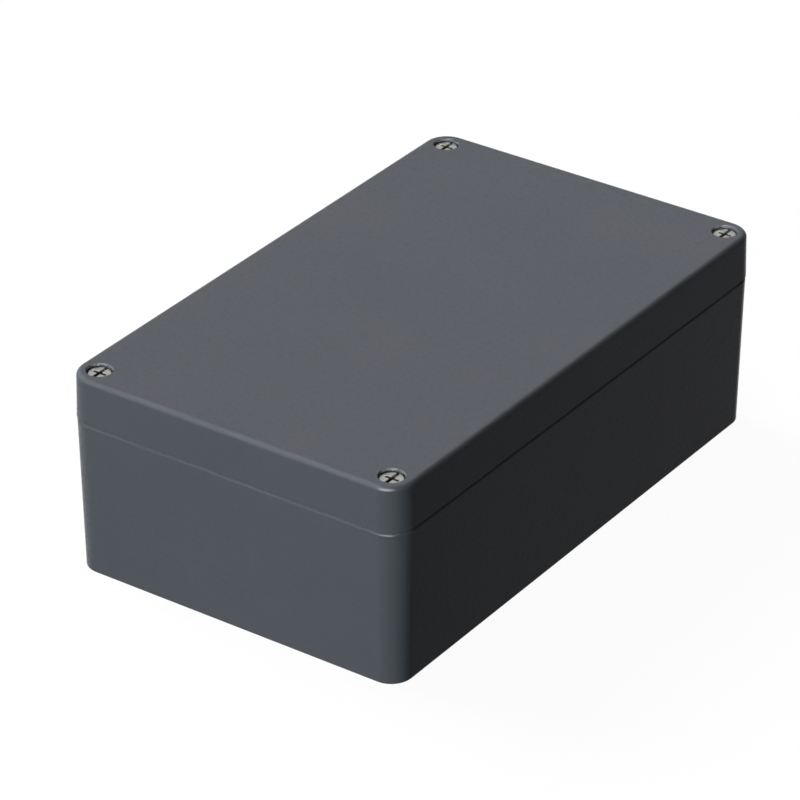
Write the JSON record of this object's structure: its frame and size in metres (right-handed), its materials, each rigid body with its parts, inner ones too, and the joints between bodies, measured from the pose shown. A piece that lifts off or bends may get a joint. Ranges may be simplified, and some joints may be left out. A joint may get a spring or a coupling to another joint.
{
  "type": "die-cast aluminium enclosure",
  "caption": "Rectangular die-cast aluminium wall box with a screwed lid, a sealing gasket, captive slot-and-cross screws, fixing wells, plate bosses and an earth terminal.",
  "frame": {"origin": "middle of the flat back face, which goes against the wall", "axes": "+X along the length, +Y across the width, +Z out of the wall towards the lid"},
  "size_m": [0.26, 0.16, 0.089],
  "materials": {
    "casting": "matte",
    "gasket": "matte",
    "lid_screw": "satin",
    "retaining_ring": "matte",
    "earth_clamp": "satin",
    "earth_steel": "satin"
  },
  "bodies": {
    "base": {"base": "casting", "earth_clamp": "earth_clamp", "earth_spring_washer": "earth_steel", "earth_screw": "earth_steel"},
    "lid": {"lid": "casting", "lid_gasket": "gasket"},
    "retaining_ring_1": {"retaining_ring_1": "retaining_ring"},
    "lid_screw_1": {"lid_screw_1": "lid_screw"},
    "retaining_ring_2": {"retaining_ring_2": "retaining_ring"},
    "lid_screw_2": {"lid_screw_2": "lid_screw"},
    "retaining_ring_3": {"retaining_ring_3": "retaining_ring"},
    "lid_screw_3": {"lid_screw_3": "lid_screw"},
    "retaining_ring_4": {"retaining_ring_4": "retaining_ring"},
    "lid_screw_4": {"lid_screw_4": "lid_screw"}
  },
  "joints": [
    {"name": "lid_lift", "type": "slide", "parent": "base", "child": "lid", "axis": [0, 0, 1], "range_m": [0, 0.1]},
    {"name": "lid_screw_1_rise", "type": "slide", "parent": "lid", "child": "retaining_ring_1", "axis": [0, 0, 1], "range_m": [0, 0.01]},
    {"name": "lid_screw_1_turn", "type": "hinge", "parent": "retaining_ring_1", "child": "lid_screw_1", "pos_m": [0.12, 0.07, 0.0838], "axis": [0, 0, 1], "range_deg": [0, 3600]},
    {"name": "lid_screw_2_rise", "type": "slide", "parent": "lid", "child": "retaining_ring_2", "axis": [0, 0, 1], "range_m": [0, 0.01]},
    {"name": "lid_screw_2_turn", "type": "hinge", "parent": "retaining_ring_2", "child": "lid_screw_2", "pos_m": [-0.12, 0.07, 0.0838], "axis": [0, 0, 1], "range_deg": [0, 3600]},
    {"name": "lid_screw_3_rise", "type": "slide", "parent": "lid", "child": "retaining_ring_3", "axis": [0, 0, 1], "range_m": [0, 0.01]},
    {"name": "lid_screw_3_turn", "type": "hinge", "parent": "retaining_ring_3", "child": "lid_screw_3", "pos_m": [-0.12, -0.07, 0.0838], "axis": [0, 0, 1], "range_deg": [0, 3600]},
    {"name": "lid_screw_4_rise", "type": "slide", "parent": "lid", "child": "retaining_ring_4", "axis": [0, 0, 1], "range_m": [0, 0.01]},
    {"name": "lid_screw_4_turn", "type": "hinge", "parent": "retaining_ring_4", "child": "lid_screw_4", "pos_m": [0.12, -0.07, 0.0838], "axis": [0, 0, 1], "range_deg": [0, 3600]}
  ],
  "couplings": [
    {"joint": "lid_screw_1_turn", "follows": "lid_screw_1_rise", "rad_per_m": 6283.2},
    {"joint": "lid_screw_2_turn", "follows": "lid_screw_2_rise", "rad_per_m": 6283.2},
    {"joint": "lid_screw_3_turn", "follows": "lid_screw_3_rise", "rad_per_m": 6283.2},
    {"joint": "lid_screw_4_turn", "follows": "lid_screw_4_rise", "rad_per_m": 6283.2}
  ]
}
